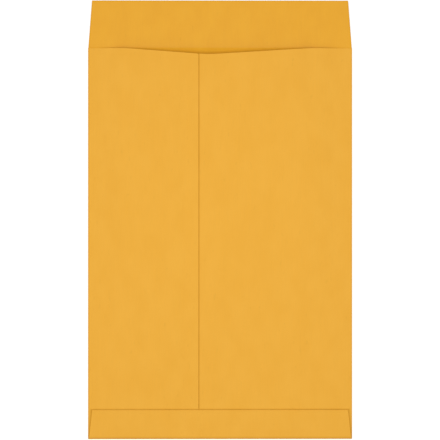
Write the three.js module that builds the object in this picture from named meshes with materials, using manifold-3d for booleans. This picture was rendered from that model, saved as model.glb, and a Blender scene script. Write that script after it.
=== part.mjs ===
// Jumbo open-end envelope of brown kraft paper, lying on its front panel with the throat flap open.
// It is one sheet, cut as a cross: the front panel is the middle, the two back panels fold over it from the
// long sides, the bottom flap folds up over both back panels, and the throat flap lies open at +Y.
// Millimetres. +X runs across the envelope, +Y from its bottom fold to its throat flap, and +Z is up.
import * as THREE from "three";
import { mergeVertices } from "three/addons/utils/BufferGeometryUtils.js";
import Module from "manifold-3d";

const wasm = await Module();
wasm.setup();

// Paper and glue
const paper = 0.15;
const glueFilm = 0.05;
const glueSetback = 4;
const edgeLift = 0.4;

// Front panel, from fold to fold and from the bottom fold to the score of the throat flap
const panelWidth = 317.5;
const panelHeight = 469.9;
const sideFoldRadius = 0.2;

// Back panels: the left one lies on the right one in the glued seam
const leftPanelWidth = 132.7;
const seamLap = 16;
const seamCornerRadius = 1.6;
const drape = 4;

// Throat edge of the back panels: level shoulders beside the folds, and a shallow rounded V beside the seam
const leftShoulder = 44;
const rightShoulder = 50;
const throatDepth = 7.8;
const throatPastSeam = 11;
const throatRounding = 15;

// The back panels lie flat beside the side folds and spring up over the pocket between them: most at a crown
// below the throat, and less at the throat
const crownRise = 9.8;
const crownFromScore = 160;
const throatRise = 6.8;
const sideEasing = 40;

// Throat flap, open
const flapLength = 57.15;
const flapTaper = 4.55;
const flapLift = 1;

// Bottom flap, folded up and glued down: a little narrower than the body at its fold, and more at its edge
const bottomFlapHeight = 34.9;
const bottomFlapNotch = 0.9;
const bottomFlapTaper = 4.7;

// Fineness of the surface
const columnStep = 16;
const rowStep = 24;
const arcSteps = 6;
const cornerSteps = 4;
const narrowestStep = 0.3;

// Places worked out from the sizes above
const bottomY = -(panelHeight + flapLength) / 2;
const scoreY = bottomY + panelHeight;
const flapEdgeY = scoreY + flapLength;
const bottomFlapEdgeY = bottomY + bottomFlapHeight;
const crownY = scoreY - crownFromScore;
const foldX = panelWidth / 2 - sideFoldRadius - paper / 2;
const layer = paper + glueFilm;
const bottomFoldRadius = sideFoldRadius + layer;
const bottomFoldY = bottomY + bottomFoldRadius + paper / 2;
const frontZ = paper / 2;
const backZ = frontZ + 2 * sideFoldRadius;
const seamX = -panelWidth / 2 + leftPanelWidth;
const hiddenEdgeX = seamX - seamLap;
const throatX = seamX + throatPastSeam;
const leftShoulderX = -panelWidth / 2 + leftShoulder;
const rightShoulderX = panelWidth / 2 - rightShoulder;

/** Eases from 0 to 1 as the share goes from 0 to 1. */
function ease(share) {
  const t = THREE.MathUtils.clamp(share, 0, 1);
  return t * t * (3 - 2 * t);
}

/** Values from one end to the other through the marks between them, with no gap over the step. */
function spread(from, to, marks, step) {
  const low = Math.min(from, to);
  const high = Math.max(from, to);
  const inside = marks.filter((mark) => mark > low + narrowestStep && mark < high - narrowestStep);
  const stops = [low];
  for (const mark of [...inside.sort((a, b) => a - b), high]) {
    const last = stops[stops.length - 1];
    if (mark - last < narrowestStep) {
      continue;
    }
    const count = Math.ceil((mark - last) / step);
    for (let k = 1; k <= count; k += 1) {
      stops.push(last + ((mark - last) * k) / count);
    }
  }
  return from < to ? stops : stops.reverse();
}

/** How far the throat edge dips below its shoulders, a V whose point is rounded by a parabola. */
function throatDip(x) {
  const run = x < throatX ? throatX - leftShoulderX : rightShoulderX - throatX;
  const slope = throatDepth / run;
  const straight = Math.max(0, throatDepth - slope * Math.abs(x - throatX));
  const nearness = Math.max(0, 1 - Math.abs(x - throatX) / throatRounding);
  return straight - (slope * throatRounding * nearness * nearness) / 2;
}

/** The lost height of the left back panel at its rounded corner between the seam and the throat. */
function seamCorner(x) {
  const inset = Math.max(0, x - (seamX - seamCornerRadius));
  return seamCornerRadius - Math.sqrt(Math.max(0, seamCornerRadius ** 2 - inset ** 2));
}

/** Height that the pocket's spring gives to a back panel at one place. */
function belly(x, y) {
  const across = (1 - (x / foldX) ** 2) * ease((foldX - Math.abs(x)) / sideEasing);
  const climb = ease((y - bottomFlapEdgeY) / (crownY - bottomFlapEdgeY));
  const fall = ease((y - crownY) / (scoreY - crownY));
  return across * (crownRise * climb - (crownRise - throatRise) * fall);
}

/** How far a lap's free margin springs up, from nothing at its glue to the whole lift at its edge. */
function freeMargin(fromEdge) {
  const share = Math.max(0, 1 - fromEdge / glueSetback);
  return edgeLift * share * share;
}

/** The middle of the left back panel, which climbs onto the right one's hidden margin. */
function leftPanelZ(x, y) {
  const climb = layer * ease((x - hiddenEdgeX + drape) / drape);
  return backZ + belly(x, y) + climb + freeMargin(seamX - x) * ease((y - bottomFlapEdgeY) / drape);
}

/** The middle of the right back panel. */
function rightPanelZ(x, y) {
  return backZ + belly(x, y);
}

/** The middle of the bottom flap: it lies on the left back panel, and drops off the seam onto the right. */
function bottomFlapZ(x) {
  const climb = ease((x - hiddenEdgeX + drape) / drape);
  const drop = ease((x - seamX) / drape);
  return backZ + layer + layer * (climb - drop);
}

/** The place across a flap whose sides are set in by an inset; its middle stays where it is. */
function setIn(x, inset) {
  return x - inset * (x / foldX) ** 3;
}

// Stations of the cross-shaped sheet: its columns run from the left back panel's free edge to the right
// one's, and its rows from the bottom flap's edge to the throat flap's.
const seamMarks = [hiddenEdgeX - drape, hiddenEdgeX, seamX, seamX + drape];
const columnMarks = [leftShoulderX, ...seamMarks, throatX, rightShoulderX];
const cornerMarks = [];
for (let k = 1; k < cornerSteps; k += 1) {
  cornerMarks.push(seamX - seamCornerRadius * (1 - Math.sin((Math.PI / 2) * (k / cornerSteps))));
}
cornerMarks.push(seamX - seamCornerRadius);

const foldAngles = [];
for (let k = 1; k < arcSteps; k += 1) {
  foldAngles.push((Math.PI * k) / arcSteps);
}

const seamMarginMarks = [seamX - glueSetback, seamX - glueSetback / 2];
const leftMarks = [...columnMarks, ...cornerMarks, ...seamMarginMarks];
const leftColumns = spread(seamX, -foldX, leftMarks, columnStep);
const rightColumns = spread(foldX, hiddenEdgeX, columnMarks, columnStep);
const frontColumns = spread(-foldX, foldX, columnMarks, columnStep * 3);
const columns = [
  ...leftColumns.map((x) => ({ strip: "left", x })),
  ...foldAngles.toReversed().map((angle) => ({ strip: "leftFold", x: -foldX, angle })),
  ...frontColumns.map((x) => ({ strip: "front", x })),
  ...foldAngles.map((angle) => ({ strip: "rightFold", x: foldX, angle })),
  ...rightColumns.map((x) => ({ strip: "right", x })),
];

const flapMarginMarks = [bottomFlapEdgeY - glueSetback, bottomFlapEdgeY - glueSetback / 2];
const bottomFlapRows = spread(bottomFlapEdgeY, bottomFoldY, flapMarginMarks, rowStep);
const bodyRows = spread(bottomFoldY, scoreY, [bottomFlapEdgeY, bottomFlapEdgeY + drape, crownY], rowStep);
const flapRows = spread(scoreY, flapEdgeY, [], rowStep).slice(1);
const rows = [
  ...bottomFlapRows.map((y) => ({ strip: "bottomFlap", y })),
  ...foldAngles.toReversed().map((angle) => ({ strip: "bottomFold", y: bottomFoldY, angle })),
  ...bodyRows.map((y) => ({ strip: "body", y })),
  ...flapRows.map((y) => ({ strip: "flap", y })),
];

/** The height along a back panel whose rows are drawn down with its throat edge. */
function drawnDown(y, dip) {
  const share = Math.max(0, (y - bottomFlapEdgeY) / (scoreY - bottomFlapEdgeY));
  return y - dip * share;
}

/** A station on the front panel, the bottom flap, its fold or the throat flap. */
function middleStation(x, row) {
  if (row.strip === "flap") {
    const share = (row.y - scoreY) / flapLength;
    const place = new THREE.Vector3(setIn(x, flapTaper * share), row.y, frontZ + flapLift * share);
    return { place, inner: new THREE.Vector3(0, 0, 1) };
  }
  if (row.strip === "bottomFlap") {
    const share = (row.y - bottomFoldY) / (bottomFlapEdgeY - bottomFoldY);
    const acrossX = setIn(x, THREE.MathUtils.lerp(bottomFlapNotch, bottomFlapTaper, share));
    const z = bottomFlapZ(acrossX) + freeMargin(bottomFlapEdgeY - row.y);
    return { place: new THREE.Vector3(acrossX, row.y, z), inner: new THREE.Vector3(0, 0, -1) };
  }
  if (row.strip === "bottomFold") {
    const acrossX = setIn(x, bottomFlapNotch * (row.angle / Math.PI));
    const halfRise = (bottomFlapZ(acrossX) - frontZ) / 2;
    const y = bottomFoldY - bottomFoldRadius * Math.sin(row.angle);
    const z = frontZ + halfRise * (1 - Math.cos(row.angle));
    const innerY = Math.sin(row.angle) / bottomFoldRadius;
    const inner = new THREE.Vector3(0, innerY, Math.cos(row.angle) / halfRise).normalize();
    return { place: new THREE.Vector3(acrossX, y, z), inner };
  }
  return { place: new THREE.Vector3(x, row.y, frontZ), inner: new THREE.Vector3(0, 0, 1) };
}

/** A station on a side fold, whose arc turns the paper over from the front panel to a back panel. */
function sideFoldStation(column, row) {
  const side = Math.sign(column.x);
  const x = column.x + side * sideFoldRadius * Math.sin(column.angle);
  const z = frontZ + sideFoldRadius * (1 - Math.cos(column.angle));
  const inner = new THREE.Vector3(-side * Math.sin(column.angle), 0, Math.cos(column.angle));
  return { place: new THREE.Vector3(x, row.y, z), inner };
}

/** A station on a back panel. */
function backStation(column, row) {
  const dip = throatDip(column.x) + (column.strip === "left" ? seamCorner(column.x) : 0);
  const y = drawnDown(row.y, dip);
  const z = column.strip === "left" ? leftPanelZ(column.x, y) : rightPanelZ(column.x, y);
  return { place: new THREE.Vector3(column.x, y, z), inner: new THREE.Vector3(0, 0, -1) };
}

/** The station of the whole sheet at one column and row. */
function sheetStation(column, row) {
  if (column.strip === "front") {
    return middleStation(column.x, row);
  }
  return column.angle === undefined ? backStation(column, row) : sideFoldStation(column, row);
}

/**
 * A closed solid from a grid of stations, each thickened by half of the thickness to both sides.
 * A cell of the grid is left empty where has(i, j) is false, and every open edge gets a wall.
 */
function thickened(stations, thickness, has = () => true) {
  const columnCount = stations.length;
  const rowCount = stations[0].length;
  const positions = [];
  const index = [];
  const layerSize = columnCount * rowCount;
  for (const side of [-0.5, 0.5]) {
    for (const station of stations.flat()) {
      positions.push(...station.place.clone().addScaledVector(station.inner, side * thickness).toArray());
    }
  }
  const inRange = (i, j) => i >= 0 && j >= 0 && i < columnCount - 1 && j < rowCount - 1;
  const filled = (i, j) => inRange(i, j) && has(i, j);
  for (let i = 0; i < columnCount - 1; i += 1) {
    for (let j = 0; j < rowCount - 1; j += 1) {
      if (!filled(i, j)) {
        continue;
      }
      const a = i * rowCount + j;
      const b = a + rowCount;
      const corners = [a, b, b + 1, a + 1];
      const [, , c, d] = corners;
      index.push(a, c, b, a, d, c);
      index.push(a + layerSize, b + layerSize, c + layerSize, a + layerSize, c + layerSize, d + layerSize);
      const neighbours = [filled(i, j - 1), filled(i + 1, j), filled(i, j + 1), filled(i - 1, j)];
      neighbours.forEach((closed, k) => {
        if (!closed) {
          const from = corners[k];
          const to = corners[(k + 1) % 4];
          index.push(to + layerSize, from + layerSize, from, to + layerSize, from, to);
        }
      });
    }
  }
  const geometry = new THREE.BufferGeometry();
  geometry.setAttribute("position", new THREE.Float32BufferAttribute(positions, 3));
  geometry.setIndex(index);
  return solidOf(geometry);
}

/** The closed geometry as a solid that can be joined to others. */
function solidOf(geometry) {
  const merged = mergeVertices(geometry, 1e-5);
  const vertProperties = new Float32Array(merged.attributes.position.array);
  const triVerts = new Uint32Array(merged.index.array);
  return new wasm.Manifold(new wasm.Mesh({ numProp: 3, vertProperties, triVerts }));
}

/** The folded sheet before its laps are glued. */
function foldedSheet() {
  const stations = columns.map((column) => rows.map((row) => sheetStation(column, row)));
  const inFront = columns.map((column) => column.strip === "front");
  const inBody = rows.map((row) => row.strip === "body");
  const has = (i, j) => (inFront[i] && inFront[i + 1]) || (inBody[j] && inBody[j + 1]);
  return thickened(stations, paper, has);
}

/** Glue from the middle of one paper to the middle of the next, over a field of columns and rows. */
function glue(fieldColumns, fieldRows, place) {
  const inner = new THREE.Vector3(0, 0, 1);
  const stations = fieldColumns.map((x) => fieldRows.map((y) => ({ place: place(x, y), inner })));
  return thickened(stations, layer);
}

/** The glue of the seam, between the right back panel's hidden margin and the left back panel. */
function seamGlue() {
  const across = spread(hiddenEdgeX + glueSetback, seamX - glueSetback, [], columnStep);
  const along = bodyRows.map((y, k) => {
    const setback = k === 0 || k === bodyRows.length - 1 ? glueSetback * (k === 0 ? 1 : -1) : 0;
    return y + setback;
  });
  return glue(across, along, (x, y) => {
    const drawnY = drawnDown(y, throatDip(x));
    return new THREE.Vector3(x, drawnY, rightPanelZ(x, drawnY) + layer / 2);
  });
}

/** The glue of the bottom flap on one stretch across, between the flap and the back panel under it. */
function bottomFlapGlue(from, to) {
  const across = spread(from, to, columnMarks, columnStep);
  const along = spread(bottomFoldY + glueSetback, bottomFlapEdgeY - glueSetback, [], rowStep);
  return glue(across, along, (x, y) => new THREE.Vector3(x, y, bottomFlapZ(x) - layer / 2));
}

/** The whole envelope: the folded sheet, joined to itself by the glue of its three laps. */
function envelopeGeometry() {
  const glueReach = foldX - bottomFlapTaper - glueSetback;
  const laps = [
    seamGlue(),
    bottomFlapGlue(-glueReach, seamX - glueSetback),
    bottomFlapGlue(seamX + drape + glueSetback, glueReach),
  ];
  let solid = foldedSheet();
  for (const lap of laps) {
    solid = solid.add(lap);
  }
  const mesh = solid.getMesh();
  const geometry = new THREE.BufferGeometry();
  geometry.setAttribute("position", new THREE.Float32BufferAttribute(mesh.vertProperties, 3));
  geometry.setIndex(Array.from(mesh.triVerts));
  geometry.computeVertexNormals();
  return geometry;
}

const kraft = new THREE.MeshStandardMaterial({ color: 0xecac40, roughness: 0.85, metalness: 0 });

/** The envelope's only piece, with its material. */
function envelope() {
  const mesh = new THREE.Mesh(envelopeGeometry(), kraft);
  mesh.name = "envelope";
  return mesh;
}

const group = new THREE.Group();
group.add(envelope());

export default group;
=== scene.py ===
import logging
import math
from dataclasses import dataclass, field
from enum import Enum

import bpy
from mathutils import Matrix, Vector


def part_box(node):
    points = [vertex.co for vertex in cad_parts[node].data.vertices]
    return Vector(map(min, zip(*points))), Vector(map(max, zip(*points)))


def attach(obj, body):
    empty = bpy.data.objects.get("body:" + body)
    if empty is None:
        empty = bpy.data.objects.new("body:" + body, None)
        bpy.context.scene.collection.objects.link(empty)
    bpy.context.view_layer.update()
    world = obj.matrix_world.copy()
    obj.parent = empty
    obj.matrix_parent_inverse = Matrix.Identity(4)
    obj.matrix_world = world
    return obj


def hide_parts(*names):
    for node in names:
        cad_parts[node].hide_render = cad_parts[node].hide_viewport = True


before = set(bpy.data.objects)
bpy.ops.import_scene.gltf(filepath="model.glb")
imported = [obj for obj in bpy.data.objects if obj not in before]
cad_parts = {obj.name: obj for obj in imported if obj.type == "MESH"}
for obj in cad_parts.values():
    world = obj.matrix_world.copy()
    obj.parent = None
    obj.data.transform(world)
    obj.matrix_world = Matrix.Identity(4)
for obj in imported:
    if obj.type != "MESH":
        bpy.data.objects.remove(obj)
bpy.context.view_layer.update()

log = logging.getLogger("kraft_envelope")

MM = 0.001
FAR = 1.0
NODE = "envelope"
BODY = "root"

Colour = tuple[float, float, float]
Stop = tuple["Strip", float]


class Strip(Enum):
    """The stretches of the cross-shaped sheet, as its columns and its rows cross them."""

    LEFT_BACK = "left back panel"
    LEFT_FOLD = "left side fold"
    FRONT = "front panel"
    RIGHT_FOLD = "right side fold"
    RIGHT_BACK = "right back panel"
    BOTTOM_FLAP = "bottom flap"
    BOTTOM_FOLD = "bottom fold"
    BODY = "body"
    THROAT_FLAP = "throat flap"


class PaperSide(Enum):
    """The sides of the paper, each with its own finish. The value is the number that its faces carry."""

    OUTER = 0
    INNER = 1
    CUT = 2


class Mark(Enum):
    """The attributes that the sheet carries for its finishes."""

    SIDE = "paper_side"
    CUT_REACH = "cut_reach"
    FOLD_REACH = "fold_reach"
    # the reach of the painted shade beside the laps and the bottom fold
    PAINTED_SHADE_REACH = "painted_shade_reach"
    GUM = "gum"


def ease(share: float) -> float:
    """Eases from 0 to 1 as the share goes from 0 to 1."""
    t = min(1.0, max(0.0, share))
    return t * t * (3.0 - 2.0 * t)


def spread(low: float, high: float, marks: list[float], step: float) -> list[float]:
    """Places values from low to high, through the marks between them.

    Args:
        low: The first value.
        high: The last value.
        marks: Values that must be met where they lie between the two.
        step: The widest gap allowed.

    Returns:
        The values, in rising order.
    """
    nearest = 0.02 * MM
    stops = [low]
    for mark in sorted(m for m in marks if low < m < high - nearest) + [high]:
        gap = mark - stops[-1]
        if gap < nearest:
            continue
        start = stops[-1]
        count = math.ceil(gap / step - 1e-6)
        stops += [start + gap * k / count for k in range(1, count + 1)]
    return stops


@dataclass(frozen=True)
class EnvelopeSizes:
    """The sizes of the folded sheet in metres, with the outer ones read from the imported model.

    Attributes:
        panel_width: Width over the side folds.
        bottom_y: The bottom fold's outside.
        flap_edge_y: The open throat flap's edge.
        paper: Thickness of the paper.
        glue_film: Thickness of the glue between two laps.
        glue_setback: How far the glue stays from a lap's free edge.
        edge_lift: How far a lap's free edge springs up.
        side_fold_radius: Radius of the side folds, to the middle of the paper.
        left_panel_width: Width of the left back panel, from its side fold to the seam.
        seam_lap: How far the right back panel runs under the left one.
        seam_corner_radius: Radius of the left back panel's corner at the throat.
        drape: Run over which one paper climbs onto another.
        left_shoulder: Width of the throat's level part on the left.
        right_shoulder: The same on the right.
        throat_depth: Depth of the throat's V below its shoulders.
        throat_past_seam: How far to the right of the seam the V's point lies.
        throat_rounding: Half the width over which that point is rounded.
        crown_rise: How far the pocket springs open at its crown.
        crown_from_score: How far below the score the crown lies.
        throat_rise: How far the pocket springs open at its throat.
        side_easing: Width beside the side folds over which the spring begins.
        flap_length: Length of the throat flap.
        flap_taper: How far the throat flap's sides are set in at its edge.
        flap_lift: How far the throat flap's edge stands off the table.
        bottom_flap_height: Height of the bottom flap.
        bottom_flap_notch: How far its sides are set in at the bottom fold.
        bottom_flap_taper: How far its sides are set in at its edge.
    """

    panel_width: float
    bottom_y: float
    flap_edge_y: float
    paper: float = 0.15 * MM
    glue_film: float = 0.05 * MM
    glue_setback: float = 4 * MM
    edge_lift: float = 0.4 * MM
    side_fold_radius: float = 0.2 * MM
    left_panel_width: float = 132.7 * MM
    seam_lap: float = 16 * MM
    seam_corner_radius: float = 1.6 * MM
    drape: float = 4 * MM
    left_shoulder: float = 44 * MM
    right_shoulder: float = 50 * MM
    throat_depth: float = 7.8 * MM
    throat_past_seam: float = 11 * MM
    throat_rounding: float = 15 * MM
    crown_rise: float = 9.8 * MM
    crown_from_score: float = 160 * MM
    throat_rise: float = 6.8 * MM
    side_easing: float = 40 * MM
    flap_length: float = 57.15 * MM
    flap_taper: float = 4.55 * MM
    flap_lift: float = 1 * MM
    bottom_flap_height: float = 34.9 * MM
    bottom_flap_notch: float = 0.9 * MM
    bottom_flap_taper: float = 4.7 * MM

    @classmethod
    def from_frame(cls) -> "EnvelopeSizes":
        """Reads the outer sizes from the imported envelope."""
        low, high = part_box(NODE)
        return cls(panel_width=high[0] - low[0], bottom_y=low[1], flap_edge_y=high[1])

    @property
    def score_y(self) -> float:
        """The score between the front panel and the throat flap."""
        return self.flap_edge_y - self.flap_length

    @property
    def bottom_flap_edge_y(self) -> float:
        """The edge of the bottom flap after it is folded up."""
        return self.bottom_y + self.bottom_flap_height

    @property
    def crown_y(self) -> float:
        """The line on which the pocket springs up most."""
        return self.score_y - self.crown_from_score

    @property
    def fold_x(self) -> float:
        """Half the width of the front panel between its side folds."""
        return self.panel_width / 2 - self.side_fold_radius - self.paper / 2

    @property
    def layer(self) -> float:
        """One paper with its film of glue."""
        return self.paper + self.glue_film

    @property
    def bottom_fold_radius(self) -> float:
        """The radius of the bottom fold, which wraps over the lapped back panels."""
        return self.side_fold_radius + self.layer

    @property
    def bottom_fold_y(self) -> float:
        """The line where the bottom fold leaves the front panel."""
        return self.bottom_y + self.bottom_fold_radius + self.paper / 2

    @property
    def back_z(self) -> float:
        """The middle of a back panel's paper beside its side fold."""
        return self.paper / 2 + 2 * self.side_fold_radius

    @property
    def seam_x(self) -> float:
        """The free edge of the left back panel."""
        return self.left_panel_width - self.panel_width / 2

    @property
    def hidden_edge_x(self) -> float:
        """The free edge of the right back panel, under the left one."""
        return self.seam_x - self.seam_lap

    @property
    def throat_x(self) -> float:
        """The point of the throat's shallow V."""
        return self.seam_x + self.throat_past_seam

    @property
    def left_shoulder_x(self) -> float:
        """The inner end of the throat's left shoulder."""
        return self.left_shoulder - self.panel_width / 2

    @property
    def right_shoulder_x(self) -> float:
        """The inner end of the throat's right shoulder."""
        return self.panel_width / 2 - self.right_shoulder

    def throat_dip(self, x: float) -> float:
        """Gives how far the throat edge dips below its shoulders, a V whose point a parabola rounds.

        Args:
            x: Place across the envelope.

        Returns:
            The dip, which is 0 at the shoulders.
        """
        left = x < self.throat_x
        run = self.throat_x - self.left_shoulder_x if left else self.right_shoulder_x - self.throat_x
        slope = self.throat_depth / run
        away = abs(x - self.throat_x)
        nearness = max(0.0, 1 - away / self.throat_rounding)
        return max(0.0, self.throat_depth - slope * away) - slope * self.throat_rounding * nearness**2 / 2

    def seam_corner(self, x: float) -> float:
        """Gives the height lost at the rounded corner of the left back panel."""
        inset = max(0.0, x - (self.seam_x - self.seam_corner_radius))
        return self.seam_corner_radius - math.sqrt(max(0.0, self.seam_corner_radius**2 - inset**2))

    def set_in(self, x: float, inset: float) -> float:
        """Gives the place across a flap whose sides are set in by an inset; its middle stays where it is."""
        return x - inset * (x / self.fold_x) ** 3

    def bottom_flap_inset(self, y: float) -> float:
        """Gives how far the folded bottom flap's sides are set in, at a place along the body."""
        share = (y - self.bottom_fold_y) / (self.bottom_flap_edge_y - self.bottom_fold_y)
        return self.bottom_flap_notch + (self.bottom_flap_taper - self.bottom_flap_notch) * min(share, 1.0)

    def past_bottom_flap(self, x: float, y: float) -> tuple[float, float]:
        """Gives how far a place on a back panel lies past the bottom flap's edge and past its side."""
        return y - self.bottom_flap_edge_y, abs(x) - (self.fold_x - self.bottom_flap_inset(y))


@dataclass(frozen=True)
class SheetPoint:
    """One point of the flat blank, with what its finishes need to know.

    Attributes:
        u: Place across the flat blank.
        v: Place along the flat blank.
        cut_reach: Distance from the nearest cut edge.
        fold_reach: Distance from the nearest fold or score.
        outer_shade_reach: On the outer side, the reach that the painted shade beside a lap or the bottom
            fold is
            drawn from: below 0 under the lap, and FAR where nothing is painted.
        inner_shade_reach: The same on the inner side.
        gum: 1 where the seal gum lies on the inner side, and 0 elsewhere.
    """

    u: float
    v: float
    cut_reach: float
    fold_reach: float
    outer_shade_reach: float = FAR
    inner_shade_reach: float = FAR
    gum: float = 0.0


@dataclass
class PaperBlank:
    """The flat cross-shaped blank that the envelope is folded from: a closed sheet of paper.

    Attributes:
        sizes: The envelope's sizes.
        column_step: Widest gap between columns.
        row_step: Widest gap between rows.
        arc_steps: Faces round a fold.
        corner_steps: Faces round the left back panel's corner.
        throat_step: Gap between the rows at the throat.
        throat_rows: How many of those rows lie below the score and above it.
        uncut_reach: The reach that places with no cut edge near them carry.
        gum_setback: How far the seal gum stays from the throat flap's edges.
        gum_easing: Width over which the gum thins out there.
        flap_edge_stretch: How fast the painted shade beside the bottom flap's edge fades: the larger, the
            narrower.
        flap_side_stretch: The same beside the bottom flap's sides.
        flap_line_softness: The reach that this painted shade starts from, which makes its line fainter.
        bottom_shade_stretch: How fast the painted shade beside the bottom fold fades.
        bottom_shade_softness: The reach that it starts from.
        edge_marks: Distances from an edge or a fold at which a column or a row must lie.
        columns: The columns of the blank, filled in as it is built.
        rows: The rows of the blank, filled in as it is built.
    """

    sizes: EnvelopeSizes
    column_step: float = 4 * MM
    row_step: float = 4 * MM
    arc_steps: int = 10
    corner_steps: int = 6
    throat_step: float = 1 * MM
    throat_rows: tuple[int, int] = (9, 3)
    uncut_reach: float = 35 * MM
    gum_setback: float = 0.6 * MM
    gum_easing: float = 1 * MM
    flap_edge_stretch: float = 0.7
    flap_side_stretch: float = 0.4
    flap_line_softness: float = 0.3 * MM
    bottom_shade_stretch: float = 0.3
    bottom_shade_softness: float = 0.85 * MM
    edge_marks: tuple[float, ...] = (0.5 * MM, 1.1 * MM, 2 * MM, 3 * MM, 4 * MM, 5 * MM)
    columns: list[Stop] = field(default_factory=list)
    rows: list[Stop] = field(default_factory=list)

    def _arc(self) -> list[float]:
        """Lists the angles round a fold, without its two ends."""
        return [math.pi * k / self.arc_steps for k in range(1, self.arc_steps)]

    def _columns(self) -> list[Stop]:
        """Lists the columns from the left back panel's free edge to the right one's.

        Returns:
            Each column's strip, with its place across the envelope or its angle round a side fold.
        """
        s = self.sizes
        seam = [s.seam_x + sign * mark for mark in (0.0, *self.edge_marks) for sign in (-1, 1)]
        folds = [sign * (s.fold_x - mark) for mark in self.edge_marks for sign in (-1, 1)]
        turns = [math.pi / 2 * k / self.corner_steps for k in range(self.corner_steps)]
        corner = [s.seam_x - s.seam_corner_radius * (1 - math.sin(turn)) for turn in turns]
        climb = [s.hidden_edge_x - s.drape * share for share in (0.0, 0.5, 1.0)]
        drop = [s.seam_x + s.drape * share for share in (0.5, 1.0)]
        marks = [*seam, *folds, *corner, *climb, *drop, s.left_shoulder_x, s.throat_x, s.right_shoulder_x]
        left = spread(-s.fold_x, s.seam_x, marks, self.column_step)
        right = spread(s.hidden_edge_x, s.fold_x, marks, self.column_step)
        front = spread(-s.fold_x, s.fold_x, marks, self.column_step)
        arc = self._arc()
        columns = [(Strip.LEFT_BACK, x) for x in reversed(left)]
        columns += [(Strip.LEFT_FOLD, angle) for angle in reversed(arc)]
        columns += [(Strip.FRONT, x) for x in front]
        columns += [(Strip.RIGHT_FOLD, angle) for angle in arc]
        columns += [(Strip.RIGHT_BACK, x) for x in reversed(right)]
        return columns

    def _rows(self) -> list[Stop]:
        """Lists the rows from the bottom flap's edge to the throat flap's.

        Returns:
            Each row's strip, with its place along the envelope or its angle round the bottom fold.
        """
        s = self.sizes
        lap = [s.bottom_flap_edge_y + sign * mark for mark in (0.0, *self.edge_marks) for sign in (-1, 1)]
        below, above = self.throat_rows
        throat = [s.score_y + self.throat_step * k for k in range(-below, above + 1)]
        ends = [s.flap_edge_y - mark for mark in (*self.edge_marks, self.gum_setback)]
        near_fold = [s.bottom_fold_y + mark for mark in self.edge_marks]
        marks = [*lap, *throat, *ends, *near_fold]
        flap = spread(s.bottom_fold_y, s.bottom_flap_edge_y, marks, self.row_step)
        body = spread(s.bottom_fold_y, s.score_y, marks, self.row_step)
        throat_flap = spread(s.score_y, s.flap_edge_y, marks, self.row_step)[1:]
        rows = [(Strip.BOTTOM_FLAP, y) for y in reversed(flap)]
        rows += [(Strip.BOTTOM_FOLD, angle) for angle in reversed(self._arc())]
        rows += [(Strip.BODY, y) for y in body]
        rows += [(Strip.THROAT_FLAP, y) for y in throat_flap]
        return rows

    def _flap_shade_reach(self, x: float, y: float) -> float:
        """Gives the reach of the painted shade beside the bottom flap, wider beside its sides than beside
        its edge.

        Args:
            x: Place across the envelope.
            y: Place along it.

        Returns:
            The reach, below 0 under the flap.
        """
        past_edge, past_side = self.sizes.past_bottom_flap(x, y)
        reach = max(self.flap_edge_stretch * past_edge, self.flap_side_stretch * past_side)
        return reach + self.flap_line_softness

    def _bottom_shade_reach(self, from_fold: float) -> float:
        """Gives the reach of the painted shade beside the bottom fold."""
        return self.bottom_shade_stretch * from_fold + self.bottom_shade_softness

    def _back_point(self, strip: Strip, x: float, y: float) -> SheetPoint:
        """Places a point of a back panel, whose rows are drawn down with the throat edge.

        Args:
            strip: Which back panel it is on.
            x: Place across the envelope.
            y: Place along it, before it is drawn down.

        Returns:
            The point.
        """
        s = self.sizes
        left = strip is Strip.LEFT_BACK
        dip = s.throat_dip(x) + (s.seam_corner(x) if left else 0.0)
        share = max(0.0, (y - s.bottom_flap_edge_y) / (s.score_y - s.bottom_flap_edge_y))
        drawn_y = y - dip * share
        side = -1 if left else 1
        run = s.fold_x - side * x
        free_edge = s.seam_x if left else s.hidden_edge_x
        past_flap = self._flap_shade_reach(x, drawn_y)
        return SheetPoint(
            u=side * (s.fold_x + math.pi * s.side_fold_radius + run),
            v=drawn_y,
            cut_reach=min(abs(x - free_edge), s.score_y - dip - drawn_y),
            fold_reach=run,
            # painted shade beside the bottom flap, and on the right back panel beside the seam
            outer_shade_reach=past_flap if left else min(past_flap, x - s.seam_x),
        )

    def _bottom_flap_point(self, x: float, y: float) -> SheetPoint:
        """Places a point of the bottom flap.

        Args:
            x: Place across the envelope, before the flap's sides are set in.
            y: Place along it, after folding.

        Returns:
            The point.
        """
        s = self.sizes
        inset = s.bottom_flap_inset(y)
        across = s.set_in(x, inset)
        run = y - s.bottom_fold_y
        reach = min(s.bottom_flap_edge_y - y, s.fold_x - inset - abs(across))
        v = s.bottom_fold_y - math.pi * s.bottom_fold_radius - run
        return SheetPoint(across, v, reach, run, outer_shade_reach=self._bottom_shade_reach(run))

    def _bottom_fold_point(self, x: float, angle: float) -> SheetPoint:
        """Places a point of the bottom fold.

        Args:
            x: Place across the envelope, before the fold's ends are set in.
            angle: How far round the fold it is.

        Returns:
            The point.
        """
        s = self.sizes
        across = s.set_in(x, s.bottom_flap_notch * angle / math.pi)
        v = s.bottom_fold_y - s.bottom_fold_radius * angle
        return SheetPoint(across, v, s.fold_x - abs(x), 0.0, outer_shade_reach=self._bottom_shade_reach(0.0))

    def _body_point(self, x: float, y: float) -> SheetPoint:
        """Places a point of the front panel.

        Args:
            x: Place across the envelope.
            y: Place along it.

        Returns:
            The point.
        """
        s = self.sizes
        run = y - s.bottom_fold_y
        reach = min(s.fold_x - abs(x), s.score_y - y, run)
        past_throat = y - (s.score_y - s.throat_dip(x))
        painted_shade_mark = self._bottom_shade_reach(run)
        # painted shade beside the bottom fold on the outer side; on the inner side the reach past the throat
        # edge
        return SheetPoint(x, y, self.uncut_reach, reach, outer_shade_reach=painted_shade_mark, inner_shade_reach=past_throat)

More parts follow.
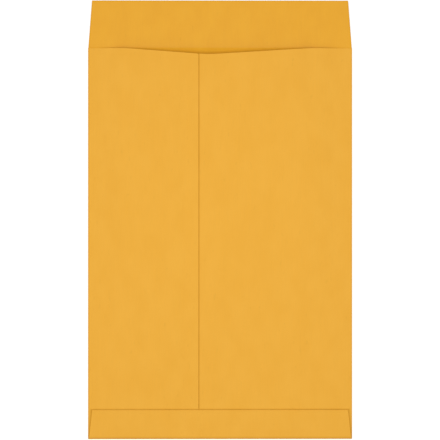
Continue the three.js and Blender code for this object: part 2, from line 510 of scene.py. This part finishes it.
    def _throat_flap_point(self, x: float, y: float) -> SheetPoint:
        """Places a point of the throat flap.

        Args:
            x: Place across the envelope, before the flap's sides are set in.
            y: Place along it.

        Returns:
            The point.
        """
        s = self.sizes
        run = y - s.score_y
        inset = s.flap_taper * run / s.flap_length
        across = s.set_in(x, inset)
        reach = min(s.flap_edge_y - y, s.fold_x - inset - abs(across))
        gum = ease((reach - self.gum_setback) / self.gum_easing)
        return SheetPoint(across, y, reach, run, inner_shade_reach=run + s.throat_dip(x), gum=gum)

    def _front_point(self, x: float, strip: Strip, at: float) -> SheetPoint:
        """Places a point of the stretch between the side folds.

        Args:
            x: Place across the envelope.
            strip: The row's strip.
            at: Place along the envelope, or the angle round the bottom fold.

        Returns:
            The point.
        """
        makers = {
            Strip.BOTTOM_FLAP: self._bottom_flap_point,
            Strip.BOTTOM_FOLD: self._bottom_fold_point,
            Strip.BODY: self._body_point,
            Strip.THROAT_FLAP: self._throat_flap_point,
        }
        return makers[strip](x, at)

    def _point(self, column: Stop, row: Stop) -> SheetPoint:
        """Places the point where a column crosses a row.

        Args:
            column: The column's strip and place.
            row: The row's strip and place.

        Returns:
            The point.
        """
        s = self.sizes
        strip, across = column
        if strip is Strip.FRONT:
            return self._front_point(across, *row)
        if strip in (Strip.LEFT_BACK, Strip.RIGHT_BACK):
            return self._back_point(strip, across, row[1])
        side = -1 if strip is Strip.LEFT_FOLD else 1
        u = side * (s.fold_x + s.side_fold_radius * across)
        return SheetPoint(u, row[1], self.uncut_reach, 0.0, self._flap_shade_reach(s.fold_x, row[1]))

    def build(self) -> bpy.types.Mesh:
        """Builds the closed blank: an outer and an inner face, and a wall along every cut edge.

        Returns:
            The flat mesh, with its marks, and with sharp edges between its sides.
        """
        self.columns = self._columns()
        self.rows = self._rows()
        count = len(self.rows)
        in_front = [strip is Strip.FRONT for strip, _ in self.columns]
        in_body = [strip is Strip.BODY for strip, _ in self.rows]

        def kept(i: int, j: int) -> bool:
            """Tells whether the cross has the cell at a column and a row.

            Args:
                i: The column's number.
                j: The row's number.

            Returns:
                True where there is paper.
            """
            if not (0 <= i < len(self.columns) - 1 and 0 <= j < count - 1):
                return False
            return (in_front[i] and in_front[i + 1]) or (in_body[j] and in_body[j + 1])

        cells = [(i, j) for i in range(len(self.columns) - 1) for j in range(count - 1) if kept(i, j)]
        number: dict[tuple[int, int], int] = {}
        for i, j in cells:
            for corner in ((i, j), (i + 1, j), (i + 1, j + 1), (i, j + 1)):
                number.setdefault(corner, len(number))
        points = [self._point(self.columns[i], self.rows[j]) for i, j in number]
        half = self.sizes.paper / 2
        vertices = [(p.u, p.v, height) for height in (-half, half) for p in points]
        faces: list[tuple[int, ...]] = []
        sides: list[int] = []
        up = len(points)
        for i, j in cells:
            a, b, c, d = (number[k] for k in ((i, j), (i + 1, j), (i + 1, j + 1), (i, j + 1)))
            faces += [(d, c, b, a), (a + up, b + up, c + up, d + up)]
            sides += [PaperSide.OUTER.value, PaperSide.INNER.value]
            around = (((i, j - 1), a, b), ((i + 1, j), b, c), ((i, j + 1), c, d), ((i - 1, j), d, a))
            for neighbour, start, end in around:
                if not kept(*neighbour):
                    faces.append((end + up, start + up, start, end))
                    sides.append(PaperSide.CUT.value)
        mesh = bpy.data.meshes.new("flat_blank")
        mesh.from_pydata(vertices, [], faces)
        self._carry(mesh, points, sides)
        return mesh

    def _carry(self, mesh: bpy.types.Mesh, points: list[SheetPoint], sides: list[int]) -> None:
        """Writes the marks into the mesh, and makes the edges between two sides sharp.

        Args:
            mesh: The blank, whose vertices are the outer side's points and then the inner side's.
            points: The points of one side.
            sides: The side of the paper that each face is on.
        """
        values = {
            Mark.CUT_REACH: [p.cut_reach for p in points] * 2,
            Mark.FOLD_REACH: [p.fold_reach for p in points] * 2,
            Mark.PAINTED_SHADE_REACH: [p.outer_shade_reach for p in points] + [p.inner_shade_reach for p in points],
            Mark.GUM: [0.0 for _ in points] + [p.gum for p in points],
        }
        for mark, numbers in values.items():
            layer = mesh.attributes.new(mark.value, "FLOAT", "POINT")
            layer.data.foreach_set("value", numbers)
        layer = mesh.attributes.new(Mark.SIDE.value, "INT", "FACE")
        layer.data.foreach_set("value", sides)
        edge_sides: dict[int, set[int]] = {}
        for face in mesh.polygons:
            for loop in face.loop_indices:
                edge_sides.setdefault(mesh.loops[loop].edge_index, set()).add(sides[face.index])
        for edge in mesh.edges:
            edge.use_edge_sharp = len(edge_sides[edge.index]) > 1


class Field:
    """A number that flows through a geometry tree: Python's operators make its math nodes."""

    def __init__(self, tree: bpy.types.NodeTree, socket: bpy.types.NodeSocket) -> None:
        """Wraps a socket of the tree."""
        self.tree = tree
        self.socket = socket

    def made_by(self, operation: str, *others: "Field | float", clamp: bool = False) -> "Field":
        """Makes one math node.

        Args:
            operation: The node's operation.
            others: The inputs after this field.
            clamp: Whether the result is held between 0 and 1.

        Returns:
            The node's result.
        """
        node = self.tree.nodes.new("ShaderNodeMath")
        node.operation = operation
        node.use_clamp = clamp
        for socket, value in zip(node.inputs, (self, *others)):
            if isinstance(value, Field):
                self.tree.links.new(value.socket, socket)
            else:
                socket.default_value = value
        return Field(self.tree, node.outputs[0])

    def __add__(self, other: "Field | float") -> "Field":
        """Adds."""
        return self.made_by("ADD", other)

    __radd__ = __add__

    def __mul__(self, other: "Field | float") -> "Field":
        """Multiplies."""
        return self.made_by("MULTIPLY", other)

    __rmul__ = __mul__

    def __sub__(self, other: "Field | float") -> "Field":
        """Subtracts."""
        return self.made_by("SUBTRACT", other)

    def __rsub__(self, other: float) -> "Field":
        """Subtracts this field from a number."""
        return self.made_by("MULTIPLY", -1.0).made_by("ADD", other)

    def __truediv__(self, other: "Field | float") -> "Field":
        """Divides."""
        return self.made_by("DIVIDE", other)

    def __abs__(self) -> "Field":
        """Drops the sign."""
        return self.made_by("ABSOLUTE")

    def sign(self) -> "Field":
        """Gives -1, 0 or 1."""
        return self.made_by("SIGN")

    def sine(self) -> "Field":
        """Gives the sine."""
        return self.made_by("SINE")

    def cosine(self) -> "Field":
        """Gives the cosine."""
        return self.made_by("COSINE")

    def at_least(self, other: "Field | float") -> "Field":
        """Gives the larger of the two."""
        return self.made_by("MAXIMUM", other)

    def at_most(self, other: "Field | float") -> "Field":
        """Gives the smaller of the two."""
        return self.made_by("MINIMUM", other)

    def above(self, other: "Field | float") -> "Field":
        """Gives 1 where this field is the larger, and 0 elsewhere."""
        return self.made_by("GREATER_THAN", other)

    def below(self, other: "Field | float") -> "Field":
        """Gives 1 where this field is the smaller, and 0 elsewhere."""
        return self.made_by("LESS_THAN", other)

    def between(self, low: float, high: float) -> "Field":
        """Gives the share of the way from low to high, held between 0 and 1."""
        return (self - low).made_by("DIVIDE", high - low, clamp=True)

    def eased(self) -> "Field":
        """Eases from 0 to 1 as the field goes from 0 to 1."""
        share = self.made_by("ADD", 0.0, clamp=True)
        return share * share * (3.0 - 2.0 * share)


@dataclass
class FoldingTree:
    """The geometry tree that folds the flat blank round its fold lines and springs its pocket open.

    Attributes:
        sizes: The envelope's sizes.
        finishes: The finish of each side of the paper.
        cockle: Depth of the paper's faint waves.
        cockle_grain: Waves to the metre.
        cockle_along: How far the waves are drawn out along the envelope, where 1 is not at all.
        cockle_seed: Picks the pattern of the waves.
        cockle_fold_margin: Width beside a side fold over which the waves begin.
        cockle_glue_margin: Run above the bottom flap over which they begin.
        turn_slack: How near to a half turn a point counts as folded over.
        identifiers: The tree's input identifiers by name, filled in as it is built.
    """

    sizes: EnvelopeSizes
    finishes: dict[PaperSide, bpy.types.Material]
    cockle: float = 0.35 * MM
    cockle_grain: float = 14.0
    cockle_along: float = 0.5
    cockle_seed: float = 3.0
    cockle_fold_margin: float = 30 * MM
    cockle_glue_margin: float = 50 * MM
    turn_slack: float = 0.001
    identifiers: dict[str, str] = field(default_factory=dict)

    def _values(self) -> dict[str, float]:
        """Lists the tree's named inputs.

        Returns:
            Each input's value by its name.
        """
        s = self.sizes
        return {
            "Paper": s.paper,
            "Layer": s.layer,
            "Side fold radius": s.side_fold_radius,
            "Bottom fold radius": s.bottom_fold_radius,
            "Side fold X": s.fold_x,
            "Bottom fold Y": s.bottom_fold_y,
            "Bottom flap edge Y": s.bottom_flap_edge_y,
            "Score Y": s.score_y,
            "Seam X": s.seam_x,
            "Hidden edge X": s.hidden_edge_x,
            "Drape": s.drape,
            "Crown Y": s.crown_y,
            "Crown rise": s.crown_rise,
            "Throat rise": s.throat_rise,
            "Side easing": s.side_easing,
            "Flap length": s.flap_length,
            "Flap lift": s.flap_lift,
            "Glue setback": s.glue_setback,
            "Edge lift": s.edge_lift,
            "Cockle": self.cockle,
            "Cockle grain": self.cockle_grain,
            "Cockle along": self.cockle_along,
            "Cockle seed": self.cockle_seed,
            "Cockle fold margin": self.cockle_fold_margin,
            "Cockle glue margin": self.cockle_glue_margin,
        }

    def _inputs(self, tree: bpy.types.NodeTree) -> dict[str, Field]:
        """Makes the tree's sockets.

        Args:
            tree: The empty tree.

        Returns:
            A field for each named input.
        """
        tree.interface.new_socket("Blank", in_out="INPUT", socket_type="NodeSocketGeometry")
        for name in self._values():
            socket = tree.interface.new_socket(name, in_out="INPUT", socket_type="NodeSocketFloat")
            self.identifiers[name] = socket.identifier
        tree.interface.new_socket("Envelope", in_out="OUTPUT", socket_type="NodeSocketGeometry")
        source = tree.nodes.new("NodeGroupInput")
        return {name: Field(tree, source.outputs[name]) for name in ("Blank", *self._values())}

    def _cockle(self, tree: bpy.types.NodeTree, x: Field, y: Field, given: dict[str, Field]) -> Field:
        """Gives the paper's faint waves, which only sink it, and fade where it is glued or folded.

        Args:
            tree: The tree.
            x: Folded place across.
            y: Folded place along.
            given: The named inputs.

        Returns:
            The height of the waves.
        """
        place = tree.nodes.new("ShaderNodeCombineXYZ")
        tree.links.new(x.socket, place.inputs[0])
        tree.links.new((y * given["Cockle along"]).socket, place.inputs[1])
        noise = tree.nodes.new("ShaderNodeTexNoise")
        noise.noise_dimensions = "4D"
        noise.inputs["Detail"].default_value = 1.0
        tree.links.new(place.outputs[0], noise.inputs["Vector"])
        tree.links.new(given["Cockle seed"].socket, noise.inputs["W"])
        tree.links.new(given["Cockle grain"].socket, noise.inputs["Scale"])
        wave = Field(tree, noise.outputs[0]) - 1.0
        off_fold = ((given["Side fold X"] - abs(x)) / given["Cockle fold margin"]).eased()
        off_glue = ((y - given["Bottom flap edge Y"]) / given["Cockle glue margin"]).eased()
        return wave * given["Cockle"] * off_fold * off_glue

    def _folded(self, tree: bpy.types.NodeTree, given: dict[str, Field]) -> tuple[Field, Field, Field]:
        """Works out where each point of the blank lies after folding.

        Args:
            tree: The tree.
            given: The named inputs.

        Returns:
            The folded place: across, along and up.
        """
        position = tree.nodes.new("GeometryNodeInputPosition")
        parts = tree.nodes.new("ShaderNodeSeparateXYZ")
        tree.links.new(position.outputs[0], parts.inputs[0])
        u, v, h = (Field(tree, socket) for socket in parts.outputs)

        radius = given["Side fold radius"]
        past_fold = (abs(u) - given["Side fold X"]).at_least(0.0)
        turn = (past_fold / radius).at_most(math.pi)
        back_run = (past_fold - radius * math.pi).at_least(0.0)
        flat_x = abs(u).at_most(given["Side fold X"])
        x = u.sign() * (flat_x + (radius - h) * turn.sine() - back_run)

        bottom_radius = given["Bottom fold radius"]
        past_bottom = (given["Bottom fold Y"] - v).at_least(0.0)
        bottom_turn = (past_bottom / bottom_radius).at_most(math.pi)
        flap_run = (past_bottom - bottom_radius * math.pi).at_least(0.0)
        y = v.at_least(given["Bottom fold Y"]) - (bottom_radius - h) * bottom_turn.sine() + flap_run

        on_back = turn.above(math.pi - self.turn_slack)
        on_left = on_back * u.below(0.0)
        on_bottom_flap = bottom_turn.above(math.pi - self.turn_slack)
        climb = ((x - given["Hidden edge X"] + given["Drape"]) / given["Drape"]).eased()
        drop = ((x - given["Seam X"]) / given["Drape"]).eased()
        half_rise = radius + given["Layer"] * (1.0 + climb - drop) / 2.0

        flap_share = ((v - given["Score Y"]) / given["Flap length"]).at_least(0.0)
        off_flap = ((y - given["Bottom flap edge Y"]) / given["Drape"]).eased()
        seam_lift = self._free_margin(given["Seam X"] - x, given) * off_flap * on_left
        flap_edge_lift = self._free_margin(given["Bottom flap edge Y"] - y, given) * on_bottom_flap
        spring = self._belly(x, y, given) + self._cockle(tree, x, y, given)

        z = given["Paper"] / 2.0 + h + (radius - h) * (1.0 - turn.cosine())
        z = z + (half_rise - h) * (1.0 - bottom_turn.cosine())
        z = z + spring * on_back + given["Layer"] * climb * on_left
        z = z + given["Flap lift"] * flap_share + seam_lift + flap_edge_lift
        return x, y, z

    def _belly(self, x: Field, y: Field, given: dict[str, Field]) -> Field:
        """Gives the spring of the pocket: highest at its crown, less at the throat, none at the folds.

        Args:
            x: Folded place across.
            y: Folded place along.
            given: The named inputs.

        Returns:
            The height of the spring.
        """
        across = x / given["Side fold X"]
        eased = ((given["Side fold X"] - abs(x)) / given["Side easing"]).eased()
        low, crown, score = (given[name] for name in ("Bottom flap edge Y", "Crown Y", "Score Y"))
        climb = ((y - low) / (crown - low)).eased()
        fall = ((y - crown) / (score - crown)).eased()
        height = given["Crown rise"] * climb - (given["Crown rise"] - given["Throat rise"]) * fall
        return height * (1.0 - across * across).at_least(0.0) * eased

    def _free_margin(self, from_edge: Field, given: dict[str, Field]) -> Field:
        """Gives the lift of a lap's free margin, from nothing at its glue to the whole lift at its edge."""
        share = (1.0 - from_edge / given["Glue setback"]).at_least(0.0)
        return given["Edge lift"] * share * share

    def build(self) -> bpy.types.NodeTree:
        """Builds the tree, which folds the blank and gives each side of the paper its finish.

        Returns:
            The tree, with its named inputs.
        """
        tree = bpy.data.node_groups.new("fold_blank", "GeometryNodeTree")
        given = self._inputs(tree)
        place = tree.nodes.new("ShaderNodeCombineXYZ")
        for value, socket in zip(self._folded(tree, given), place.inputs):
            tree.links.new(value.socket, socket)
        moved = tree.nodes.new("GeometryNodeSetPosition")
        tree.links.new(given["Blank"].socket, moved.inputs["Geometry"])
        tree.links.new(place.outputs[0], moved.inputs["Position"])
        real = tree.nodes.new("GeometryNodeRealizeInstances")
        tree.links.new(moved.outputs[0], real.inputs["Geometry"])
        shape = real.outputs[0]
        for side, material in self.finishes.items():
            mark = tree.nodes.new("GeometryNodeInputNamedAttribute")
            mark.data_type = "INT"
            mark.inputs["Name"].default_value = Mark.SIDE.value
            chosen = tree.nodes.new("FunctionNodeCompare")
            chosen.data_type = "INT"
            chosen.operation = "EQUAL"
            integers = [socket for socket in chosen.inputs if socket.type == "INT"]
            tree.links.new(mark.outputs[0], integers[0])
            integers[1].default_value = side.value
            dressed = tree.nodes.new("GeometryNodeSetMaterial")
            tree.links.new(shape, dressed.inputs["Geometry"])
            tree.links.new(chosen.outputs[0], dressed.inputs["Selection"])
            dressed.inputs["Material"].default_value = material
            shape = dressed.outputs[0]
        end = tree.nodes.new("NodeGroupOutput")
        tree.links.new(shape, end.inputs[0])
        return tree

    def apply(self, blank: bpy.types.Object, name: str) -> bpy.types.Object:
        """Folds the blank and keeps the result as a plain mesh.

        Args:
            blank: The object that holds the flat mesh.
            name: The finished piece's name.

        Returns:
            The folded piece, at the origin.
        """
        tree = self.build()
        modifier = blank.modifiers.new("fold", "NODES")
        modifier.node_group = tree
        for socket, value in self._values().items():
            modifier[self.identifiers[socket]] = value
        bpy.context.view_layer.update()
        graph = bpy.context.evaluated_depsgraph_get()
        mesh = bpy.data.meshes.new_from_object(blank.evaluated_get(graph), depsgraph=graph)
        mesh.name = name
        flat = blank.data
        blank.modifiers.remove(modifier)
        blank.data = mesh
        blank.name = name
        bpy.data.meshes.remove(flat)
        return blank


@dataclass(frozen=True)
class Grain:
    """One noise of the paper.

    Attributes:
        count: Features to the metre, across the web.
        along: What that count is multiplied by along the web, where features are drawn out.
        octaves: How many finer layers it has.
    """

    count: float
    along: float
    octaves: float


@dataclass(frozen=True)
class KraftFinish:
    """One side of machine-finished kraft paper: cloudy formation, fine streaks along the web, stray fibres.

    Attributes:
        name: The material's name.
        light: The paper's colour where it is thin.
        dark: The paper's colour where it is thick.
        specular: The shader's specular level, low on unglazed paper.
        roughness: How matt the paper is.
        gum_roughness: How matt the dried seal gum is.
        clouds: The cloudy formation.
        cloud_range: The values of the clouds between which the paper goes from thin to thick.
        streaks: The streaks along the web.
        streak_depth: How much the streaks change the tone.
        streak_sheen: How much they change the roughness.
        fibres: The stray fibres.
        fibre_range: The values of the fibres between which a stray one begins to show.
        fibre_depth: How much a stray fibre darkens.
        painted_shade_tint: What the colour is multiplied by in the painted shade beside a lap or the bottom
            fold.
        painted_shade_width: How far past the lap's edge that painted shade reaches.
        painted_shade_patchiness: How much the clouds weaken or strengthen that painted shade.
        fold_shade_depth: How much painted shade darkens the paper beside a fold or the score.
        fold_shade_width: How far from the fold that painted shade reaches.
        edge_highlight_gain: How much a painted highlight brightens the paper beside a cut edge; below 0 it
            darkens it there instead.
        edge_width: How far from the cut edge that reaches.
        relief_strength: Strength of the bump.
        relief_height: Height of the bump.
        fibre_relief: The fibres' share of the bump, where the streaks have 1.
        cloud_relief: The clouds' share of it.
    """

    name: str
    light: Colour
    dark: Colour
    specular: float = 0.18
    roughness: float = 0.8
    gum_roughness: float = 0.42
    clouds: Grain = Grain(count=55.0, along=0.6, octaves=4.0)
    cloud_range: tuple[float, float] = (0.35, 0.65)
    streaks: Grain = Grain(count=900.0, along=0.06, octaves=2.0)
    streak_depth: float = 0.05
    streak_sheen: float = 0.1
    fibres: Grain = Grain(count=260.0, along=0.35, octaves=3.0)
    fibre_range: tuple[float, float] = (0.66, 0.72)
    fibre_depth: float = 0.035
    painted_shade_tint: Colour = (0.72, 0.64, 0.3)
    painted_shade_width: float = 1.9 * MM
    painted_shade_patchiness: float = 0.5
    fold_shade_depth: float = 0.055
    fold_shade_width: float = 3 * MM
    edge_highlight_gain: float = 0.02
    edge_width: float = 1.3 * MM
    relief_strength: float = 0.35
    relief_height: float = 0.08 * MM
    fibre_relief: float = 0.7
    cloud_relief: float = 0.8

    def build(self) -> bpy.types.Material:
        """Builds the material.

        Returns:
            The material, which reads the marks that the blank carries.
        """
        material = bpy.data.materials.new(self.name)
        material.use_nodes = True
        tree = material.node_tree
        shader = tree.nodes["Principled BSDF"]
        shader.inputs["Specular IOR Level"].default_value = self.specular
        shader.inputs["Metallic"].default_value = 0.0
        grains = (self.clouds, self.streaks, self.fibres)
        clouds, streaks, fibres = (self._noise(tree, grain) for grain in grains)
        tree.links.new(self._colour(tree, clouds, streaks, fibres), shader.inputs["Base Color"])
        gum = (self.gum_roughness - self.roughness) * self._mark(tree, Mark.GUM)
        matt = self.roughness + self.streak_sheen * (streaks - 0.5) + gum
        tree.links.new(matt.socket, shader.inputs["Roughness"])
        bump = tree.nodes.new("ShaderNodeBump")
        bump.inputs["Strength"].default_value = self.relief_strength
        bump.inputs["Distance"].default_value = self.relief_height
        relief = streaks + self.fibre_relief * fibres + self.cloud_relief * clouds
        tree.links.new(relief.socket, bump.inputs["Height"])
        tree.links.new(bump.outputs[0], shader.inputs["Normal"])
        return material

    def _colour(
        self, tree: bpy.types.NodeTree, clouds: Field, streaks: Field, fibres: Field
    ) -> bpy.types.NodeSocket:
        """Mixes the paper's colour from its noises, and from the painted shade and the painted highlight on
        its marks.

        Args:
            tree: The material's tree.
            clouds: The cloudy formation.
            streaks: The streaks along the web.
            fibres: The stray fibres.

        Returns:
            The socket that gives the colour.
        """
        tone = 1.0 + self.streak_depth * (streaks - 0.5)
        tone = tone - self.fibre_depth * fibres.between(*self.fibre_range)
        # painted shade beside the folds and the score
        tone = tone - self.fold_shade_depth * self._beside(tree, Mark.FOLD_REACH, self.fold_shade_width)
        # painted highlight beside the cut edges, a darkening where the gain is below 0
        tone = tone + self.edge_highlight_gain * self._beside(tree, Mark.CUT_REACH, self.edge_width)
        paper = self._mix(tree, "MIX", clouds.between(*self.cloud_range), self.light, self.dark)
        toned = tree.nodes.new("ShaderNodeVectorMath")
        toned.operation = "SCALE"
        tree.links.new(paper, toned.inputs[0])
        tree.links.new(tone.socket, toned.inputs["Scale"])
        # painted shade: a warm darkening beside the laps and the bottom fold, patchy with the clouds
        patches = (1.0 - self.painted_shade_patchiness / 2) + self.painted_shade_patchiness * clouds
        painted_shade_mark = self._beside(tree, Mark.PAINTED_SHADE_REACH, self.painted_shade_width) * patches
        return self._mix(tree, "MULTIPLY", painted_shade_mark, toned.outputs[0], self.painted_shade_tint)

    def _mix(
        self,
        tree: bpy.types.NodeTree,
        blend: str,
        share: Field,
        under: "Colour | bpy.types.NodeSocket",
        over: Colour,
    ) -> bpy.types.NodeSocket:
        """Mixes two colours.

        Args:
            tree: The material's tree.
            blend: The node's blend type.
            share: How much of the upper colour is laid on.
            under: The lower colour, or the socket that gives it.
            over: The upper colour.

        Returns:
            The socket that gives the mixed colour.
        """
        node = tree.nodes.new("ShaderNodeMix")
        node.data_type = "RGBA"
        node.blend_type = blend
        tree.links.new(share.socket, node.inputs["Factor"])
        lower, upper = (socket for socket in node.inputs if socket.type == "RGBA")
        if isinstance(under, bpy.types.NodeSocket):
            tree.links.new(under, lower)
        else:
            lower.default_value = (*under, 1.0)
        upper.default_value = (*over, 1.0)
        return next(socket for socket in node.outputs if socket.type == "RGBA")

    def _noise(self, tree: bpy.types.NodeTree, grain: Grain) -> Field:
        """Makes one noise on the piece's own coordinates.

        Args:
            tree: The material's tree.
            grain: The noise's size, direction and detail.

        Returns:
            The noise, about 0.5.
        """
        place = tree.nodes.new("ShaderNodeTexCoord")
        mapping = tree.nodes.new("ShaderNodeMapping")
        mapping.inputs["Scale"].default_value = (1.0, grain.along, 1.0)
        noise = tree.nodes.new("ShaderNodeTexNoise")
        noise.inputs["Scale"].default_value = grain.count
        noise.inputs["Detail"].default_value = grain.octaves
        tree.links.new(place.outputs["Object"], mapping.inputs["Vector"])
        tree.links.new(mapping.outputs[0], noise.inputs["Vector"])
        return Field(tree, noise.outputs[0])

    def _mark(self, tree: bpy.types.NodeTree, mark: Mark) -> Field:
        """Reads one of the sheet's marks.

        Args:
            tree: The material's tree.
            mark: The mark.

        Returns:
            Its value at each place.
        """
        node = tree.nodes.new("ShaderNodeAttribute")
        node.attribute_name = mark.value
        return Field(tree, node.outputs["Fac"])

    def _beside(self, tree: bpy.types.NodeTree, mark: Mark, width: float) -> Field:
        """Gives 1 at a mark's line, falling to 0 at the width from it."""
        return 1.0 - (self._mark(tree, mark) / width).eased()


@dataclass
class Envelope:
    """The folded and glued envelope."""

    sizes: EnvelopeSizes

    def finishes(self) -> dict[PaperSide, bpy.types.Material]:
        """Makes the finishes.

        Returns:
            The finish of each side of the paper.
        """
        outer = KraftFinish("kraft_outer", light=(0.861, 0.4325, 0.0495), dark=(0.845, 0.4175, 0.0445))
        inner = KraftFinish(
            "kraft_inner",
            light=(0.83, 0.395, 0.0185),
            dark=(0.81, 0.377, 0.016),
            painted_shade_tint=(1.0, 1.0, 1.0),
            fold_shade_depth=0.01,
            edge_highlight_gain=-0.05,
            edge_width=1.8 * MM,
        )
        cut = KraftFinish("kraft_cut_edge", light=(0.88, 0.5, 0.12), dark=(0.8, 0.42, 0.07))
        return {
            PaperSide.OUTER: outer.build(),
            PaperSide.INNER: inner.build(),
            PaperSide.CUT: cut.build(),
        }

    def build(self) -> bpy.types.Object:
        """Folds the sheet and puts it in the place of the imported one.

        Returns:
            The finished envelope.
        """
        mesh = PaperBlank(self.sizes).build()
        piece = bpy.data.objects.new("flat_blank", mesh)
        bpy.context.scene.collection.objects.link(piece)
        piece = FoldingTree(self.sizes, self.finishes()).apply(piece, "folded_envelope")
        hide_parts(NODE)
        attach(piece, BODY)
        log.info("%s: %d faces", piece.name, len(piece.data.polygons))
        return piece


@dataclass
class Studio:
    """The pale floor, the soft light and the camera over the envelope.

    Attributes:
        photo_width: Width of floor that the view spans.
        photo_middle: The place on the floor in the middle of the view.
        photo_lean: How far the camera leans to the envelope's left.
        lens: Focal length in millimetres.
        sensor: Width of the sensor in millimetres.
        camera_reach: How far the camera sees.
        floor_side: Side of the square floor.
        floor_drop: How far the floor lies below the paper, so that no two faces meet.
        floor_tone: How pale the floor is.
        floor_glow: How much the floor adds to that for the camera, beside the envelope.
        key_share: How much it adds besides where the key light doesn't reach.
        key_reach: How far over the floor the key light reaches.
        sky: Strength of the sky on the envelope.
        key_power: Power of the key light in watts.
        key_size: Width of the key light.
        key_place: Place of the key light, which points at the origin.
    """

    photo_width: float = 529.25 * MM
    photo_middle: tuple[float, float] = (-0.18 * MM, -0.22 * MM)
    photo_lean: float = math.radians(0.7)
    lens: float = 200.0
    sensor: float = 36.0
    camera_reach: float = 50.0
    floor_side: float = 12.0
    floor_drop: float = 0.02 * MM
    floor_tone: float = 0.86
    floor_glow: float = 0.2
    key_share: float = 0.36
    key_reach: float = 1.1
    sky: float = 0.59
    key_power: float = 5.6
    key_size: float = 1.0
    key_place: tuple[float, float, float] = (-0.03, 0.0, 1.05)

    @property
    def distance(self) -> float:
        """From the camera to the middle of its view."""
        return self.photo_width * self.lens / self.sensor

    def camera(self) -> bpy.types.Object:
        """Makes the long-lens camera above the envelope, leaning to its left as the photograph's does.

        Returns:
            The camera, which is the scene's own.
        """
        data = bpy.data.cameras.new("camera")
        data.lens = self.lens
        data.sensor_fit = "HORIZONTAL"
        data.sensor_width = self.sensor
        data.clip_end = self.camera_reach
        camera = bpy.data.objects.new("camera", data)
        across, along = self.photo_middle
        left = self.distance * math.sin(self.photo_lean)
        camera.location = (across - left, along, self.distance * math.cos(self.photo_lean))
        camera.rotation_euler = (0.0, -self.photo_lean, 0.0)
        bpy.context.scene.collection.objects.link(camera)
        bpy.context.scene.camera = camera
        return camera

    def floor(self) -> bpy.types.Object:
        """Makes the plain floor, white to the camera and still showing the envelope's shadow.

        Returns:
            The floor, marked as stage.
        """
        half = self.floor_side / 2
        mesh = bpy.data.meshes.new("floor")
        corners = [(-half, -half, 0.0), (half, -half, 0.0), (half, half, 0.0), (-half, half, 0.0)]
        mesh.from_pydata(corners, [], [(0, 1, 2, 3)])
        floor = bpy.data.objects.new("floor", mesh)
        floor.location.z = -self.floor_drop
        bpy.context.scene.collection.objects.link(floor)
        material = bpy.data.materials.new("floor_white")
        material.use_nodes = True
        tree = material.node_tree
        shader = tree.nodes["Principled BSDF"]
        tone = self.floor_tone
        shader.inputs["Base Color"].default_value = (tone, tone, tone, 1.0)
        shader.inputs["Roughness"].default_value = 1.0
        shader.inputs["Specular IOR Level"].default_value = 0.0
        shader.inputs["Emission Color"].default_value = (1.0, 1.0, 1.0, 1.0)
        path = tree.nodes.new("ShaderNodeLightPath")
        camera, glossy, through = (
            Field(tree, path.outputs[f"Is {kind} Ray"]) for kind in ("Camera", "Glossy", "Transmission")
        )
        glow = camera.at_least(glossy).at_least(through) * self._glow(tree)
        tree.links.new(glow.socket, shader.inputs["Emission Strength"])
        mesh.materials.append(material)
        return floor

    def _glow(self, tree: bpy.types.NodeTree) -> Field:
        """Gives the floor's glow, which grows away from the envelope as the key light falls off.

        Args:
            tree: The floor's material tree.

        Returns:
            The strength of the glow.
        """
        place = tree.nodes.new("ShaderNodeTexCoord")
        squared = tree.nodes.new("ShaderNodeVectorMath")
        squared.operation = "DOT_PRODUCT"
        for socket in squared.inputs[:2]:
            tree.links.new(place.outputs["Object"], socket)
        away = Field(tree, squared.outputs["Value"])
        near = 1.0 - away / (away + self.key_reach**2)
        return self.floor_glow + self.key_share * (1.0 - near * near)

    def light(self) -> None:
        """Makes the even sky and the large soft key light over the envelope."""
        world = bpy.data.worlds.new("sky")
        bpy.context.scene.world = world
        world.use_nodes = True
        tree = world.node_tree
        background = tree.nodes["Background"]
        background.inputs["Color"].default_value = (1.0, 1.0, 1.0, 1.0)
        path = tree.nodes.new("ShaderNodeLightPath")
        seen = Field(tree, path.outputs["Is Camera Ray"])
        strength = seen * (1.0 - self.sky) + self.sky
        tree.links.new(strength.socket, background.inputs["Strength"])
        data = bpy.data.lights.new("key", "AREA")
        data.shape = "DISK"
        data.size = self.key_size
        data.energy = self.key_power
        key = bpy.data.objects.new("key", data)
        key.location = self.key_place
        key.rotation_euler = Vector(self.key_place).to_track_quat("Z", "Y").to_euler()
        bpy.context.scene.collection.objects.link(key)

    def build(self) -> None:
        """Sets up the studio."""
        self.camera()
        self.floor()
        self.light()
        bpy.context.scene.view_settings.view_transform = "Standard"
        log.info("studio: camera %.2f m from the envelope", self.distance)


def main() -> None:
    """Builds the studio and the envelope."""
    logging.basicConfig(level=logging.INFO)
    Studio().build()
    Envelope(EnvelopeSizes.from_frame()).build()


if __name__ == "__main__":
    main()
